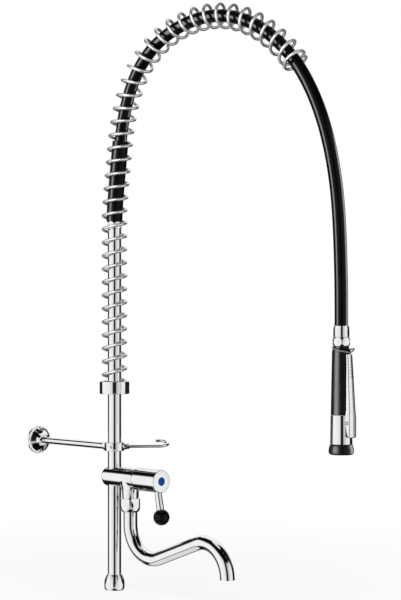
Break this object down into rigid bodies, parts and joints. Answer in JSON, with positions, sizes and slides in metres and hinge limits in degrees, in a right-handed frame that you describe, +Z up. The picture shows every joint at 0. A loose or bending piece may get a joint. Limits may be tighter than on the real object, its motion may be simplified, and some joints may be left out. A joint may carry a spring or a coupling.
{
  "type": "pre-rinse faucet",
  "caption": "Chromed pre-rinse faucet: a column with a lever valve, a swivelling swan-neck spout, a wall bracket with a hook, and a sprung hose arch to a hand spray with a squeeze lever.",
  "frame": {"origin": "centre of the base union nut's lower face, on the column's axis, where the supply comes up through the deck", "axes": "+Z up the column, -Y towards the user along the valve and the spout, +Y towards the wall, +X to the user's right"},
  "size_m": [0.1391, 0.8203, 1.1597],
  "materials": {
    "chrome": "polished",
    "steel": "satin",
    "brass": "machined",
    "rubber": "smooth, slightly glossy",
    "black_plastic": "moulded",
    "blue": "enamel",
    "nylon": "plain",
    "ceramic": "lapped"
  },
  "bodies": {
    "column": {"base_union_nut": "chrome", "base_gasket": "rubber", "riser_lower": "chrome", "riser_upper": "chrome", "valve_body": "chrome", "valve_cartridge": "brass", "cartridge_seal": "rubber", "disc_fixed": "ceramic", "spout_nut": "chrome", "spout_slip_ring": "nylon", "clamp_ring": "chrome", "clamp_grub_screw": "steel", "bracket_arm": "chrome", "arm_locknut": "chrome", "wall_flange": "chrome", "hook_rod": "chrome", "hook_nut": "chrome", "spring_collar": "chrome", "collar_grub_screw": "steel", "guide_spring": "chrome", "hose_nut": "chrome", "hose_sleeve": "rubber", "hose": "rubber", "hose_ferrule": "chrome"},
    "handle": {"disc_moving": "ceramic", "valve_spindle": "brass", "handle_drum": "chrome", "handle_cap": "chrome", "index_dot": "blue", "handle_screw": "steel", "lever_rod": "chrome", "ball_knob": "black_plastic"},
    "spout": {"spout_tube": "chrome", "spout_o_ring_upper": "rubber", "spout_o_ring_lower": "rubber"},
    "spray": {"spray_swivel_nut": "chrome", "spray_washer": "rubber", "spray_body": "chrome", "spray_grip": "black_plastic", "spray_bumper": "rubber", "spray_face": "steel", "lever_pin": "steel"},
    "lever": {"spray_lever": "chrome"},
    "plunger": {"plunger": "steel", "plunger_spring": "steel"},
    "ring": {"lock_ring": "steel"}
  },
  "joints": [
    {"name": "handle_turn", "type": "hinge", "parent": "column", "child": "handle", "pos_m": [0, -0.1, 0.228], "axis": [0, -1, 0], "range_deg": [0, 90]},
    {"name": "spout_swivel", "type": "hinge", "parent": "column", "child": "spout", "pos_m": [0, -0.049, 0.17], "axis": [0, 0, 1], "range_deg": [-130, 130]},
    {"name": "spray_swivel", "type": "hinge", "parent": "column", "child": "spray", "pos_m": [0.08573, -0.54125, 0.508], "axis": [0, 0, 1], "continuous": true},
    {"name": "spray_lever_squeeze", "type": "hinge", "parent": "spray", "child": "lever", "pos_m": [0.08573, -0.56375, 0.3599], "axis": [1, 0, 0], "range_deg": [0, 12]},
    {"name": "plunger_slide", "type": "slide", "parent": "spray", "child": "plunger", "axis": [0, -1, 0], "range_m": [0, 0.0068], "deforming": ["plunger_spring"]},
    {"name": "lock_ring_lift", "type": "hinge", "parent": "spray", "child": "ring", "pos_m": [0.08573, -0.52565, 0.4985], "axis": [-1, 0, 0], "range_deg": [0, 12]}
  ],
  "couplings": [
    {"joint": "plunger_slide", "follows": "spray_lever_squeeze", "m_per_rad": 0.032}
  ]
}
